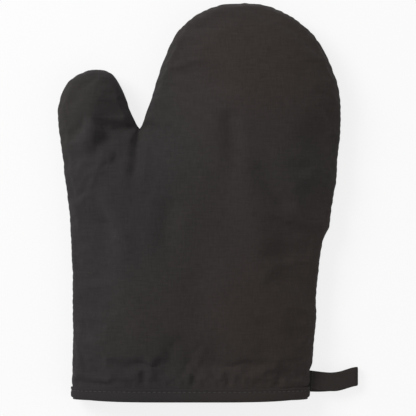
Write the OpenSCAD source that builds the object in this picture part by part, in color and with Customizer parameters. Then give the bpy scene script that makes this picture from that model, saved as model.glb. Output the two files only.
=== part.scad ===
// Padded oven mitt, lying on its back face: two quilted faces sewn round the edge, a bound cuff and a
// hanging loop. Every face is three layers deep, outer cloth, wadding and lining, and each layer of each
// face is its own solid. The layers are cut along the thumb's fold line so that the thumb can fold.
// Millimetres. X runs across the cuff, Y from the cuff to the fingertips, Z up from the table.

/* [Outline] */
// Length from the hem to the fingertips
mitt_len = 275; // [235:1:330]
// Width across the hem
cuff_w = 165; // [140:1:195]
// Width of the finger part, from the thumb's crotch to the widest point of the outer side
finger_w = 140; // [118:1:165]
// How far the crotch lies from the middle of the cuff, towards the thumb
crotch_x = 35; // [28:1:42]
// Height of the crotch above the hem
crotch_y = 188; // [160:1:200]
// Width of the thumb part at the crotch
thumb_w = 57.5; // [48:0.5:66]
// How far the thumb rises above the crotch
thumb_len = 41; // [34:1:48]
// Height at which the thumb's fold line meets the outer edge
fold_y = 130; // [110:1:140]

/* [Depth] */
// Height of the seam above the table
seam_z = 8.5; // [7:0.1:11]
// How far the front face rises above the seam
rise = 28.5; // [22:0.5:34]
// How far the front face rises above the seam at the hem
hem_rise = 22; // [17:0.5:26]
// Distance from the seam at which the front face is flat
front_round = 60; // [48:1:70]
// Distance from the seam at which the back face lies flat
back_round = 18; // [14.5:0.5:22]

/* [Layers] */
// Thickness of the outer cloth
outer_t = 0.8; // [0.6:0.1:1.2]
// Thickness of outer cloth and wadding together
pad_t = 4.9; // [4:0.1:5.5]
// Thickness of the lining
lining_t = 0.6; // [0.4:0.1:0.8]
// Air between one layer and the next
layer_gap = 0.1; // [0.05:0.05:0.2]
// Width of the turned-in seam allowance
allowance_w = 4.2; // [3:0.1:5]
// Thickness of the turned-in seam allowance
allowance_t = 2.2; // [1.5:0.1:2.6]

/* [Cuff] */
// Height of the binding round the hem
binding_h = 9.5; // [8:0.5:12]
// Thickness of the binding strip
binding_t = 0.9; // [0.7:0.1:1.2]
// Length over which the face is drawn in above the binding
pinch_h = 6; // [4:0.5:9]
// Distance of the stitch row below the binding's upper edge
stitch_inset = 2.4; // [1.6:0.1:3.2]
// Length of one visible stitch
stitch_len = 2.4; // [1.8:0.1:3]
// Distance from one stitch to the next
stitch_pitch = 3.4; // [3.2:0.1:5]
// Diameter of the sewing thread
thread_d = 0.6; // [0.4:0.05:0.8]

/* [Hanging loop] */
// Reach of the loop from the side seam
loop_len = 34; // [26:1:42]
// Width of the loop's tape
tape_w = 13; // [10:0.5:16]
// Thickness of the tape
tape_t = 0.9; // [0.7:0.1:1.2]
// Height of the tape's lower edge above the hem
loop_y = 7; // [4:0.5:12]
// Radius of the open bend at the loop's end
loop_r = 3.2; // [2.6:0.1:4]
// Clearance between the tape's root and the side seam
loop_clearance = 0.6; // [0.4:0.05:1.2]

/* [Fold line] */
// Gap between the two sides of the thumb's fold line
fold_gap = 0.4; // [0.3:0.05:0.6]

/* [Hidden] */
faces = ["front", "back"];
layers = ["outer", "wadding", "lining"];
parts = ["", "_thumb"];

cloth_colour = [0.2, 0.185, 0.18];
lining_colour = [0.15, 0.14, 0.135];
wadding_colour = [0.86, 0.86, 0.84];
binding_colour = [0.18, 0.17, 0.165];
thread_colour = [0.12, 0.11, 0.11];
tape_colour = [0.16, 0.15, 0.145];

// ---- Curves ----
function smooth(t) = let (c = min(1, max(0, t))) c * c * (3 - 2 * c);
function mix(a, b, t) = a + (b - a) * t;

// A point of the curve that passes through b and c, with a and d as its neighbours.
function curve_point(a, b, c, d, t) =
    0.5 * (2 * b + (c - a) * t + (2 * a - 5 * b + 4 * c - d) * t * t + (3 * b - a - 3 * c + d) * t * t * t);

// A smooth line through the knots, with steps points to each stretch. Its last knot is left out.
function curve(knots, steps) =
    let (last = len(knots) - 1)
    [for (i = [0 : last - 1], s = [0 : steps - 1])
        curve_point(knots[max(i - 1, 0)], knots[i], knots[i + 1], knots[min(i + 2, last)], s / steps)];

// ---- The seam line, from the thumb side of the cuff round to the other side ----
curve_steps = 5;
crotch = [-crotch_x, crotch_y];
finger_len = mitt_len - crotch_y;

// Knots as shares of a width and a height, measured from a corner.
function scaled(corner, w, h, shares) = [for (s = shares) corner + [w * s[0], h * s[1]]];

thumb_side = scaled([-cuff_w / 2, 0], cuff_w / 2 - crotch_x - thumb_w, crotch_y,
    [[0, 0], [-0.05, 0.35], [0.10, 0.62], [0.48, 0.82]]);
thumb_top = scaled(crotch, -thumb_w, thumb_len,
    [[0.99, 0.05], [0.985, 0.40], [0.89, 0.74], [0.72, 0.93], [0.53, 1], [0.33, 0.93],
     [0.20, 0.68], [0.09, 0.27], [0, 0]]);
finger_top = scaled(crotch, finger_w, finger_len,
    [[0, 0], [0.05, 0.23], [0.12, 0.57], [0.20, 0.80], [0.34, 0.955], [0.505, 1], [0.67, 0.955],
     [0.825, 0.80], [0.94, 0.54], [0.995, 0.23], [0.996, 0.02]]);
outer_side = scaled([cuff_w / 2, 0], finger_w - crotch_x - cuff_w / 2, crotch_y,
    [[0.83, 0.80], [0.60, 0.62], [0.40, 0.48], [0.27, 0.31], [0.11, 0.14], [0.03, 0.105], [0, 0]]);

seam = concat(
    curve(concat(thumb_side, thumb_top), curve_steps),
    curve(concat(finger_top, outer_side), curve_steps),
    [[cuff_w / 2, 0]]
);
seam_count = len(seam);
crotch_index = (len(thumb_side) + len(thumb_top) - 1) * curve_steps;
apex_x = finger_top[5][0];
thumb_apex_x = thumb_top[4][0];

thumb_edge_x = min([for (p = seam) p[0]]);
loop_tip_x = cuff_w / 2 + loop_len;
middle = [(thumb_edge_x + loop_tip_x) / 2, mitt_len / 2, 0];

// Distance from p to the seam line.
function segment_distance(p, a, b) =
    let (ab = b - a, t = min(1, max(0, (p - a) * ab / (ab * ab)))) norm(p - a - ab * t);
function seam_distance(p) =
    min([for (i = [0 : seam_count - 2]) segment_distance(p, seam[i], seam[i + 1])]);

// Where the seam line crosses a line of constant Y (axis 1) or of constant X (axis 0).
function crossings(at, axis) =
    [for (i = [0 : seam_count - 2]) let (a = seam[i], b = seam[i + 1])
        if ((a[axis] <= at) != (b[axis] <= at))
            mix(a[1 - axis], b[1 - axis], (at - a[axis]) / (b[axis] - a[axis]))];
function wall_left(x, y) = max([for (c = crossings(y, 1)) if (c < x) c]);
function wall_right(x, y) = min([for (c = crossings(y, 1)) if (c > x) c]);
function wall_above(x, y) = min([for (c = crossings(x, 0)) if (c > y) c]);

// The point between a wall and an inner point that lies k from the seam line, found by halving.
halvings = 14;
function inset(wall, inner, k, n = halvings) =
    let (m = (wall + inner) / 2)
    n == 0 ? m : seam_distance(m) < k ? inset(m, inner, k, n - 1) : inset(wall, m, k, n - 1);

// ---- The thumb's fold line, from the outer edge to the crotch ----
fold_low = [wall_left(0, fold_y), fold_y];
fold_way = (crotch - fold_low) / norm(crotch - fold_low);
function fold_x(y) = fold_low[0] + (y - fold_y) * fold_way[0] / fold_way[1];
fold_shift = fold_gap / 2 / fold_way[1];

// ---- Depth of a face at a distance d from the seam, k inside its outer surface ----
function dome(d, round, height, k) =
    let (share = min(1, max(0, (round - d) / (round - k))))
    (height - k) * sqrt(max(0, 1 - share * share));
snap = 0.05;
function front_height(y) = mix(hem_rise, rise, smooth(y / 90));
function face_z(side, p, k) =
    let (d = seam_distance(p), inside = d - k < snap ? k : d)
    side == "front"
        ? seam_z + dome(inside, front_round, front_height(p[1]), k)
        : seam_z - dome(inside, back_round, seam_z, k);

// ---- Insets of the layers' surfaces. The binding draws the outer cloth in at the hem. ----
binding_in = binding_t + layer_gap;
function drawn_in(y) = binding_in * (1 - smooth((y - binding_h - layer_gap) / pinch_h));
lining_in = pad_t + layer_gap;
lining_face = lining_in + lining_t;
function layer_from(layer, y) =
    layer == "outer" ? drawn_in(y)
    : layer == "wadding" ? drawn_in(y) + outer_t + layer_gap
    : lining_in;
function layer_to(layer, y) =
    layer == "outer" ? drawn_in(y) + outer_t
    : layer == "wadding" ? pad_t
    : lining_face;

// ---- Rows of points across a face ----
columns = 19;
thumb_columns = 11;
function share(i, n) = (1 - cos(180 * i / (n - 1))) / 2;

corner_skip = 6;
near = 0.01;
panel_start = binding_t + layer_gap;
pinch_top = binding_h + pinch_h;
first_row = max(pinch_top + 2, loop_y + tape_w + 2);
hand_low_rows = concat(
    [panel_start, binding_h / 2, binding_h + layer_gap, binding_h + pinch_h / 2, pinch_top],
    [for (i = [0 : 13]) mix(first_row, crotch_y - corner_skip, i / 13)],
    [crotch_y + near]
);
hand_high_rows = 9;
thumb_low_rows = 6;
thumb_high_rows = 7;
corner_rise = 0.8;

function hand_spine(y) = apex_x * y / mitt_len;
function hand_left(y, k) =
    let (x = inset([wall_left(hand_spine(y), y), y], [hand_spine(y), y], k)[0])
    y < crotch_y + 2 * near ? max(x, fold_x(min(y, crotch_y)) + fold_shift) : x;
function hand_right(y, k) = inset([wall_right(hand_spine(y), y), y], [hand_spine(y), y], k)[0];

function thumb_spine(y) = y < crotch_y ? fold_x(y) - fold_shift
    : let (c = crossings(y, 1)) (c[0] + c[1]) / 2;
function thumb_left(y, k) = inset([wall_left(thumb_spine(y), y), y], [thumb_spine(y), y], k)[0];
function thumb_right(y, k) = y < crotch_y ? fold_x(y) - fold_shift
    : min(inset([wall_right(thumb_spine(y), y), y], [thumb_spine(y), y], k)[0], fold_x(y) - fold_shift);

// The point of the seam line's inset k straight above x.
function top_edge(x, y, k) = inset([x, wall_above(x, y)], [x, y], k);

// One row of points on a surface, between two X values.
function row(side, y, k, x0, x1, n) =
    [for (i = [0 : n - 1]) let (x = mix(x0, x1, share(i, n))) [x, y, face_z(side, [x, y], k)]];
function edge_row(k, x0, x1, y, n) =
    [for (i = [0 : n - 1]) let (p = top_edge(mix(x0, x1, share(i, n)), y, k)) [p[0], p[1], seam_z]];

// The rows of a layer's surface, from its lowest row to the row that lies on the seam line.
apex_half = 6;
function layer_grid(part, side, layer, inner) =
    let (k_at = function(y) inner ? layer_to(layer, y) : layer_from(layer, y))
    part == "" ? hand_grid(side, k_at) : thumb_grid(side, k_at);
function hand_grid(side, k_at) =
    let (k = k_at(mitt_len), top = mitt_len - k - 1.2)
    concat(
        [for (y = hand_low_rows)
            row(side, y, k_at(y), hand_left(y, k_at(y)), hand_right(y, k_at(y)), columns)],
        [for (i = [1 : hand_high_rows]) let (y = mix(crotch_y, top, sin(90 * i / hand_high_rows)))
            row(side, y, k, hand_left(y, k), hand_right(y, k), columns)],
        [edge_row(k, apex_x - apex_half, apex_x + apex_half, top - 2, columns)]
    );
function thumb_grid(side, k_at) =
    let (k = k_at(mitt_len),
         low = fold_y + (k + fold_shift + corner_rise) * fold_way[1] / fold_way[0],
         top = crotch_y + thumb_len - k - 1.2)
    concat(
        [for (i = [0 : thumb_low_rows]) let (y = mix(low, crotch_y - corner_skip, i / thumb_low_rows))
            row(side, y, k, thumb_left(y, k), thumb_right(y, k), thumb_columns)],
        [for (i = [0 : thumb_high_rows]) let (y = mix(crotch_y + near, top, sin(90 * i / thumb_high_rows)))
            row(side, y, k, thumb_left(y, k), thumb_right(y, k), thumb_columns)],
        [edge_row(k, thumb_apex_x - apex_half / 2, thumb_apex_x + apex_half / 2, top - 2, thumb_columns)]
    );

// A closed solid between two grids of points with the same rows and columns.
module slab(upper, lower) {
    rows = len(upper);
    n = len(upper[0]);
    total = rows * n;
    points = concat([for (r = upper, p = r) p], [for (r = lower, p = r) p]);
    // Two triangles of one grid square. They face inwards on the preview's own rule, and the solid that is
    // sewn from them has a positive volume.
    function quad(a, b, c, d) = [[a, c, b], [a, d, c]];
    grid = [for (j = [0 : rows - 2], i = [0 : n - 2]) let (a = j * n + i) [a, a + n, a + n + 1, a + 1]];
    rim = concat(
        [for (i = [0 : n - 2]) [i, i + 1]],
        [for (j = [0 : rows - 2]) [j * n + n - 1, (j + 1) * n + n - 1]],
        [for (i = [n - 1 : -1 : 1]) [(rows - 1) * n + i, (rows - 1) * n + i - 1]],
        [for (j = [rows - 1 : -1 : 1]) [j * n, (j - 1) * n]]
    );
    polyhedron(
        points = points,
        faces = concat(
            [for (q = grid) each quad(q[0], q[1], q[2], q[3])],
            [for (q = grid) each quad(total + q[0], total + q[3], total + q[2], total + q[1])],
            [for (e = rim) each quad(e[0], e[1], total + e[1], total + e[0])]
        )
    );
}

// One layer of one face: the outer cloth, the wadding or the lining.
module layer_solid(layer, side, part) {
    shell = layer == "outer" ? cloth_colour : layer == "wadding" ? wadding_colour : lining_colour;
    outside = layer_grid(part, side, layer, false);
    inside = layer_grid(part, side, layer, true);
    color(shell)
        if (side == "front") slab(outside, inside);
        else slab(inside, outside);
}

// ---- Seam allowance and its stitching ----
allowance_in = lining_face + 0.6;
allowance_low = seam_z - 0.2;
allowance_start = binding_h + 3;
function inward(i) =
    let (a = seam[max(i - 1, 0)], b = seam[min(i + 1, seam_count - 1)], t = (b - a) / norm(b - a))
    [t[1], -t[0]];
// The seam line moved inward by k, for the points from one index to another.
function inner_line(from, to, k) = [for (i = [from : to]) seam[i] + inward(i) * k];
function index_above(y) = [for (i = [0 : seam_count - 1]) if (seam[i][1] > y) i];
low_first = index_above(allowance_start)[0];
low_last = index_above(fold_y)[0] - 1;
thumb_first = index_above(fold_y + 3 * allowance_in)[0];
high_last = index_above(allowance_start)[len(index_above(allowance_start)) - 1];
thumb_last = crotch_index - 3;
finger_first = crotch_index + 3;

// A strip of the seam allowance along part of the seam line.
module allowance_strip(from, to) {
    near_side = inner_line(from, to, allowance_in);
    far_side = inner_line(from, to, allowance_in + allowance_w);
    function at(z) = [for (i = [0 : to - from])
        [[near_side[i][0], near_side[i][1], z], [far_side[i][0], far_side[i][1], z]]];
    color(lining_colour) slab(at(allowance_low), at(allowance_low + allowance_t));
}
module seam_allowance() {
    allowance_strip(low_first, low_last);
    allowance_strip(finger_first, high_last);
}
module seam_allowance_thumb() allowance_strip(thumb_first, thumb_last);

// A straight stitch from a to b.
module stitch(a, b) {
    way = b - a;
    flat = norm([way[0], way[1]]);
    translate(a) rotate([0, atan2(flat, way[2]), atan2(way[1], way[0])])
        cylinder(d = thread_d, h = norm(way), $fn = 24);
}
// Stitches on top of the seam allowance, evenly spaced along the seam line.
stitch_row_in = allowance_in + allowance_w / 3;
function lengths(line) =
    [for (i = 0, total = 0; i < len(line);
          i = i + 1, total = total + norm(line[min(i, len(line) - 1)] - line[i - 1])) total];
module allowance_stitches(from, to) {
    line = inner_line(from, to, stitch_row_in);
    along = lengths(line);
    z = allowance_low + allowance_t + thread_d / 2;
    function point_at(s) = [for (axis = [0, 1])
        lookup(s, [for (i = [0 : len(line) - 1]) [along[i], line[i][axis]]])];
    color(thread_colour)
        for (s = [stitch_pitch / 2 : stitch_pitch : along[len(line) - 1] - stitch_pitch]) {
            start = point_at(s);
            end = point_at(s + stitch_len);
            stitch([start[0], start[1], z], [end[0], end[1], z]);
        }
}
module seam_stitching() {
    allowance_stitches(low_first, low_last);
    allowance_stitches(finger_first, high_last);
}
module seam_stitching_thumb() allowance_stitches(thumb_first, thumb_last);

// ---- Cuff binding ----
// Points round the mouth at a height above the hem, on the surface k inside the outermost one.
function mouth_ring(y, k) =
    let (x0 = hand_left(y + near, k), x1 = hand_right(y + near, k),
         front = row("front", y, k, x0, x1, columns), back = row("back", y, k, x0, x1, columns))
    concat([for (i = [0 : columns - 1]) i == 0 || i == columns - 1 ? [front[i][0], y, seam_z] : front[i]],
           [for (i = [columns - 2 : -1 : 1]) back[i]]);
// The strip's outline, as height above the hem and inset: over the outside with the groove that its stitches
// pull into it, under the hem, and up the lining.
stitch_y = binding_h - stitch_inset;
groove_top = 0.9;
groove_floor = 0.4;
binding_outline = [
    [binding_h, 0], [stitch_y + groove_top, 0], [stitch_y + groove_floor, thread_d],
    [stitch_y - groove_floor, thread_d], [stitch_y - groove_top, 0], [0, 0],
    [0, lining_face + layer_gap + binding_t], [binding_h, lining_face + layer_gap + binding_t],
    [binding_h, lining_face + layer_gap], [binding_t, lining_face + layer_gap],
    [binding_t, binding_t], [binding_h, binding_t]
];
module cuff_binding() {
    rings = [for (p = binding_outline) mouth_ring(p[0], p[1])];
    m = len(rings);
    n = len(rings[0]);
    color(binding_colour) polyhedron(
        points = [for (r = rings, p = r) p],
        faces = [for (j = [0 : m - 1], i = [0 : n - 1])
            let (a = j * n + i, b = j * n + (i + 1) % n,
                 c = ((j + 1) % m) * n + (i + 1) % n, d = ((j + 1) % m) * n + i)
            each [[a, b, c], [a, c, d]]]
    );
}
// The row of stitches through the binding, on both faces.
stitch_side = 9;
module binding_stitching() {
    reach = cuff_w / 2 - stitch_side;
    count = floor(2 * reach / stitch_pitch);
    color(thread_colour)
        for (side = faces, i = [0 : count - 1]) {
            x = -reach + (i + 0.5) * 2 * reach / count;
            ends = [for (end = [x - stitch_len / 2, x + stitch_len / 2])
                [end, stitch_y, face_z(side, [end, stitch_y], thread_d / 2)]];
            stitch(ends[0], ends[1]);
        }
}

// ---- Hanging loop ----
pin_r = thread_d;
pin_gap = 0.1;
tie_out = 0.9;
tie_ends = [loop_y - tie_out, loop_y + tape_w + tie_out];
loop_root = pin_r + pin_gap + tape_t + loop_clearance;
loop_axis = [wall_right(0, tie_ends[1] + pin_r) + loop_root, seam_z];
loop_tip = [loop_tip_x - loop_r - tape_t, loop_r + tape_t];
module tape_profile(extra) {
    hull() {
        translate(loop_axis) circle(r = pin_r + pin_gap + extra, $fn = 32);
        translate(loop_tip) circle(r = loop_r + extra, $fn = 48);
    }
}
module hanging_loop() {
    color(tape_colour)
        translate([0, loop_y + tape_w, 0]) rotate([90, 0, 0])
            linear_extrude(height = tape_w)
                difference() {
                    tape_profile(tape_t);
                    tape_profile(0);
                }
}
// The thread that holds the loop's root: a bar through the bend, tied back into the seam at both ends.
tie_gap = 0.1;
module loop_stitching() {
    color(thread_colour) {
        translate([loop_axis[0], tie_ends[0] - pin_r, loop_axis[1]])
            rotate([-90, 0, 0]) cylinder(r = pin_r, h = tie_ends[1] - tie_ends[0] + 2 * pin_r, $fn = 32);
        for (y = tie_ends) {
            start = wall_right(0, y + pin_r) + tie_gap;
            translate([start, y, seam_z])
                rotate([0, 90, 0]) cylinder(r = pin_r - tie_gap, h = loop_axis[0] - start, $fn = 32);
        }
    }
}

translate(-middle) {
    for (part = parts, layer = layers, side = faces)
        layer_solid(layer, side, part);
    seam_allowance();
    seam_allowance_thumb();
    seam_stitching();
    seam_stitching_thumb();
    cuff_binding();
    binding_stitching();
    loop_stitching();
    hanging_loop();
}
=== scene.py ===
"""Oven mitt: a padded, lined mitt with a bound cuff and a tape hanging loop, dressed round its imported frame."""
from __future__ import annotations

import logging
import math
import sys
from dataclasses import dataclass, field
from enum import Enum
from typing import Callable, Iterable, Sequence

import bmesh
import bpy
import numpy as np
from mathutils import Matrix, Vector
from mathutils.geometry import delaunay_2d_cdt

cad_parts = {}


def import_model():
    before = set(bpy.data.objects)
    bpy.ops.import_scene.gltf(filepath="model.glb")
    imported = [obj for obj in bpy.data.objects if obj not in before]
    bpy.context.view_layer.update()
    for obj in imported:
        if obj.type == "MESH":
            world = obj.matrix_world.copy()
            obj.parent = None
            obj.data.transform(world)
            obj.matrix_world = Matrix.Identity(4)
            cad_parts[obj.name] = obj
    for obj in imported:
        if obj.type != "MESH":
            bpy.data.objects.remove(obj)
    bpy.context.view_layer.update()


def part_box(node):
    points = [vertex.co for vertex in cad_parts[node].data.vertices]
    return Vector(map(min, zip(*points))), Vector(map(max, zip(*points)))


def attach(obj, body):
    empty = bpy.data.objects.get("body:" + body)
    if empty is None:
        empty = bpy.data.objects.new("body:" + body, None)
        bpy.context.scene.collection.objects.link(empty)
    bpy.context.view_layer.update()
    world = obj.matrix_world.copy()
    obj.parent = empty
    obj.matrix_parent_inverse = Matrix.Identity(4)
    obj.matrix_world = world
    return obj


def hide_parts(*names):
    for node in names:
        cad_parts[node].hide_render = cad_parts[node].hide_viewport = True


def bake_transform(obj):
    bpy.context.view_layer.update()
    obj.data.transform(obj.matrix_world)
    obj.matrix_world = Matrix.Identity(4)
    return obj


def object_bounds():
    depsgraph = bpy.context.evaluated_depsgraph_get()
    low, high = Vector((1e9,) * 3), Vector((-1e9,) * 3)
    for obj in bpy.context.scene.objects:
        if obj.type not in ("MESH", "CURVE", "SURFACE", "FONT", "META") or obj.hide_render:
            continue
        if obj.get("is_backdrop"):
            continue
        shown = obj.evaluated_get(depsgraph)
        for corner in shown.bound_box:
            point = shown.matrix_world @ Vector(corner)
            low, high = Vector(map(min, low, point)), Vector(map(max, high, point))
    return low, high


LOG = logging.getLogger("oven_mitt")
MM = 0.001
WHOLE_TURN = 2 * math.pi
Array = np.ndarray


class Side(Enum):
    """The two faces of the mitt."""

    FRONT = "front"
    BACK = "back"


class Part(Enum):
    """The two divisions of each face, either side of the thumb's fold line."""

    HAND = ""
    THUMB = "_thumb"

    @property
    def body(self) -> str:
        """Name of the body for this division; only the hand's pieces are attached to theirs."""
        return "thumb" if self is Part.THUMB else "hand"


def smooth(t: Array) -> Array:
    """Eases a share from 0 to 1, level at both ends."""
    c = np.clip(t, 0.0, 1.0)
    return c * c * (3 - 2 * c)


# ---- Shader graph ----
class Wire:
    """One shader socket, with the arithmetic operators adding Math nodes."""

    def __init__(self, shader: "Shader", socket: bpy.types.NodeSocket) -> None:
        """Wraps a socket of a shader's tree."""
        self.shader = shader
        self.socket = socket

    def _math(self, operation: str, a: object, b: object) -> "Wire":
        """Adds one Math node."""
        return self.shader.node("ShaderNodeMath", {"operation": operation}, {0: a, 1: b})

    def __add__(self, other: object) -> "Wire":
        """Sum."""
        return self._math("ADD", self, other)

    __radd__ = __add__

    def __sub__(self, other: object) -> "Wire":
        """Difference."""
        return self._math("SUBTRACT", self, other)

    def __rsub__(self, other: object) -> "Wire":
        """Difference from a number."""
        return self._math("SUBTRACT", other, self)

    def __mul__(self, other: object) -> "Wire":
        """Product."""
        return self._math("MULTIPLY", self, other)

    __rmul__ = __mul__

    def apply(self, operation: str, other: object = 0.0) -> "Wire":
        """Any other Math operation on this value."""
        return self._math(operation, self, other)


class Shader:
    """A material's node tree, built one call at a time."""

    def __init__(self, name: str) -> None:
        """Makes an empty material with an output."""
        self.material = bpy.data.materials.new(name)
        self.material.use_nodes = True
        self.tree = self.material.node_tree
        self.tree.nodes.clear()

    def node(self, kind: str, settings: dict | None = None, inputs: dict | None = None, out: int | str = 0) -> Wire:
        """Adds a node.

        Args:
            kind: the node's type.
            settings: its properties, set first; "stops" fills a colour ramp.
            inputs: values or wires for its sockets, by name or number.
            out: the output that is returned.

        Returns:
            The chosen output.
        """
        made = self.tree.nodes.new(kind)
        for key, value in (settings or {}).items():
            if key == "stops":
                ramp = made.color_ramp
                while len(ramp.elements) < len(value):
                    ramp.elements.new(0.5)
                for element, (place, colour) in zip(ramp.elements, value):
                    element.position = place
                    element.color = colour
            else:
                setattr(made, key, value)
        for key, value in (inputs or {}).items():
            if isinstance(value, Wire):
                self.tree.links.new(value.socket, made.inputs[key])
            else:
                made.inputs[key].default_value = value
        return Wire(self, made.outputs[out])

    def mix(self, share: object, a: object, b: object) -> Wire:
        """Mixes two colours by a share."""
        return self.node("ShaderNodeMix", {"data_type": "RGBA"}, {0: share, 6: a, 7: b}, 2)

    def finish(self, surface: Wire) -> bpy.types.Material:
        """Connects the surface to the output and returns the material."""
        self.node_output = self.tree.nodes.new("ShaderNodeOutputMaterial")
        self.tree.links.new(surface.socket, self.node_output.inputs["Surface"])
        return self.material


Colour = tuple[float, float, float]


@dataclass(frozen=True)
class WovenCloth:
    """A plain-woven matt cloth, with slubs along both threads, slight shade changes and a little lint."""

    name: str
    colour: Colour
    thread_m: float = 0.00052
    slub_share: float = 0.55
    shade_share: float = 0.14
    warmth: float = 0.07
    bump_m: float = 0.00009
    roughness: float = 0.92
    specular: float = 0.12
    sheen: float = 0.04
    lint_share: float = 0.5

    def material(self) -> bpy.types.Material:
        """Builds the cloth.

        Returns:
            The material, which reads the piece's own cloth map.
        """
        s = Shader(self.name)
        uv = s.node("ShaderNodeUVMap", {"uv_map": CLOTH_MAP})
        solid = s.node("ShaderNodeTexCoord", out="Object")

        def noise(scale: tuple[float, float, float], detail: float, source: Wire = uv) -> Wire:
            """Noise whose grain is 1/scale metres along each thread."""
            place = s.node("ShaderNodeMapping", {}, {"Vector": source, "Scale": scale})
            return s.node("ShaderNodeTexNoise", {}, {"Vector": place, "Scale": 1.0, "Detail": detail, "Roughness": 0.6})

        def threads(axis: str) -> Wire:
            """The rounded tops of the threads that lie side by side along an axis."""
            return s.node(
                "ShaderNodeTexWave",
                {"wave_type": "BANDS", "bands_direction": axis, "wave_profile": "SIN"},
                {"Vector": uv, "Scale": WHOLE_TURN / 20 / self.thread_m * 1.0, "Distortion": 0.35, "Detail": 1.0, "Detail Scale": 2.0},
                out=1,
            )

        warp = threads("X")
        weft = threads("Y")
        over = warp * weft + (1.0 - warp) * (1.0 - weft)
        slubs = noise((850, 120, 1), 3.0) * 0.5 + noise((110, 850, 1), 3.0) * 0.5
        shade = noise((16, 16, 16), 3.0, solid)
        tint = noise((7, 7, 7), 1.0, solid)
        grain = 1.0 + (slubs - 0.5) * (2 * self.slub_share) + (over - 0.5) * self.slub_share
        level = grain * (1.0 + (shade - 0.5) * (2 * self.shade_share))
        warm = tuple(c * k for c, k in zip(self.colour, (1 + self.warmth, 1, 1 - self.warmth))) + (1,)
        cool = tuple(c * k for c, k in zip(self.colour, (1 - self.warmth, 1, 1 + self.warmth))) + (1,)
        across = s.node("ShaderNodeSeparateXYZ", {}, {0: solid})
        share = s.node("ShaderNodeClamp", {}, {0: tint * 2.4 + across * 4.0 - 0.8})
        body = s.mix(share, cool, warm)
        bright = s.node("ShaderNodeCombineXYZ", {}, {0: level, 1: level, 2: level})
        dyed = s.node("ShaderNodeVectorMath", {"operation": "MULTIPLY"}, {0: body, 1: bright})
        fluff = s.node("ShaderNodeTexVoronoi", {"feature": "F1"}, {"Vector": noise_warp(s, uv), "Scale": 95.0, "Randomness": 1.0})
        lint = s.node("ShaderNodeMapRange", {}, {"Value": fluff, "From Min": 0.035, "From Max": 0.015})
        colour = s.mix(lint * self.lint_share, dyed, tuple(min(1.0, 3.2 * c) for c in self.colour) + (1,))
        height = over * 0.7 + slubs * 0.6
        bump = s.node("ShaderNodeBump", {}, {"Height": height, "Distance": self.bump_m, "Strength": 1.0})
        rough = self.roughness + (slubs - 0.5) * 0.08
        surface = s.node(
            "ShaderNodeBsdfPrincipled",
            {},
            {
                "Base Color": colour, "Roughness": rough, "Normal": bump, "Specular IOR Level": self.specular,
                "Sheen Weight": self.sheen, "Sheen Roughness": 0.6,
            },
        )
        return s.finish(surface)


def noise_warp(s: Shader, source: Wire) -> Wire:
    """Bends coordinates by a fine noise, so that what reads them loses its straight edges.

    Args:
        s: the shader.
        source: the coordinates.

    Returns:
        The bent coordinates.
    """
    wobble = s.node("ShaderNodeTexNoise", {}, {"Vector": source, "Scale": 260.0, "Detail": 1.0}, out=1)
    push = s.node("ShaderNodeVectorMath", {"operation": "SCALE"}, {0: wobble, "Scale": 0.006})
    return s.node("ShaderNodeVectorMath", {"operation": "ADD"}, {0: source, 1: push})


@dataclass(frozen=True)
class Wadding:
    """White needled wadding: matted fibres."""

    name: str = "wadding"
    colour: Colour = (0.78, 0.77, 0.74)

    def material(self) -> bpy.types.Material:
        """Builds the wadding."""
        s = Shader(self.name)
        solid = s.node("ShaderNodeTexCoord", out="Object")
        fibres = s.node("ShaderNodeTexNoise", {}, {"Vector": solid, "Scale": 900.0, "Detail": 4.0, "Distortion": 2.0})
        colour = s.mix(fibres, tuple(0.8 * c for c in self.colour) + (1,), self.colour + (1,))
        bump = s.node("ShaderNodeBump", {}, {"Height": fibres, "Distance": 0.0004})
        surface = s.node("ShaderNodeBsdfPrincipled", {}, {"Base Color": colour, "Roughness": 0.95, "Normal": bump})
        return s.finish(surface)


@dataclass(frozen=True)
class Thread:
    """Twisted sewing thread."""

    name: str = "thread"
    colour: Colour = (0.05, 0.046, 0.045)

    def material(self) -> bpy.types.Material:
        """Builds the thread."""
        s = Shader(self.name)
        solid = s.node("ShaderNodeTexCoord", out="Object")
        turned = s.node("ShaderNodeMapping", {}, {"Vector": solid, "Rotation": (0.0, 0.0, 0.7)})
        twist = s.node("ShaderNodeTexWave", {"bands_direction": "X"}, {"Vector": turned, "Scale": 900.0, "Distortion": 0.6}, out=1)
        colour = s.mix(twist, tuple(0.7 * c for c in self.colour) + (1,), tuple(1.25 * c for c in self.colour) + (1,))
        bump = s.node("ShaderNodeBump", {}, {"Height": twist, "Distance": 0.00006})
        surface = s.node(
            "ShaderNodeBsdfPrincipled", {},
            {"Base Color": colour, "Roughness": 0.6, "Normal": bump, "Specular IOR Level": 0.3},
        )
        return s.finish(surface)


CLOTH_MAP = "cloth"
OUTER = WovenCloth("outer_cloth", (0.0312, 0.0262, 0.0250))
BINDING = WovenCloth("binding", (0.0300, 0.0255, 0.0245), thread_m=0.00045, slub_share=0.14, shade_share=0.1)
LINING = WovenCloth("lining", (0.024, 0.0225, 0.0218), thread_m=0.0004, lint_share=0.2, bump_m=0.00006)
TAPE = WovenCloth("tape", (0.029, 0.0255, 0.0245), thread_m=0.0009, slub_share=0.3, bump_m=0.00022, lint_share=0.15)
WADDING = Wadding()
THREAD = Thread()


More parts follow.
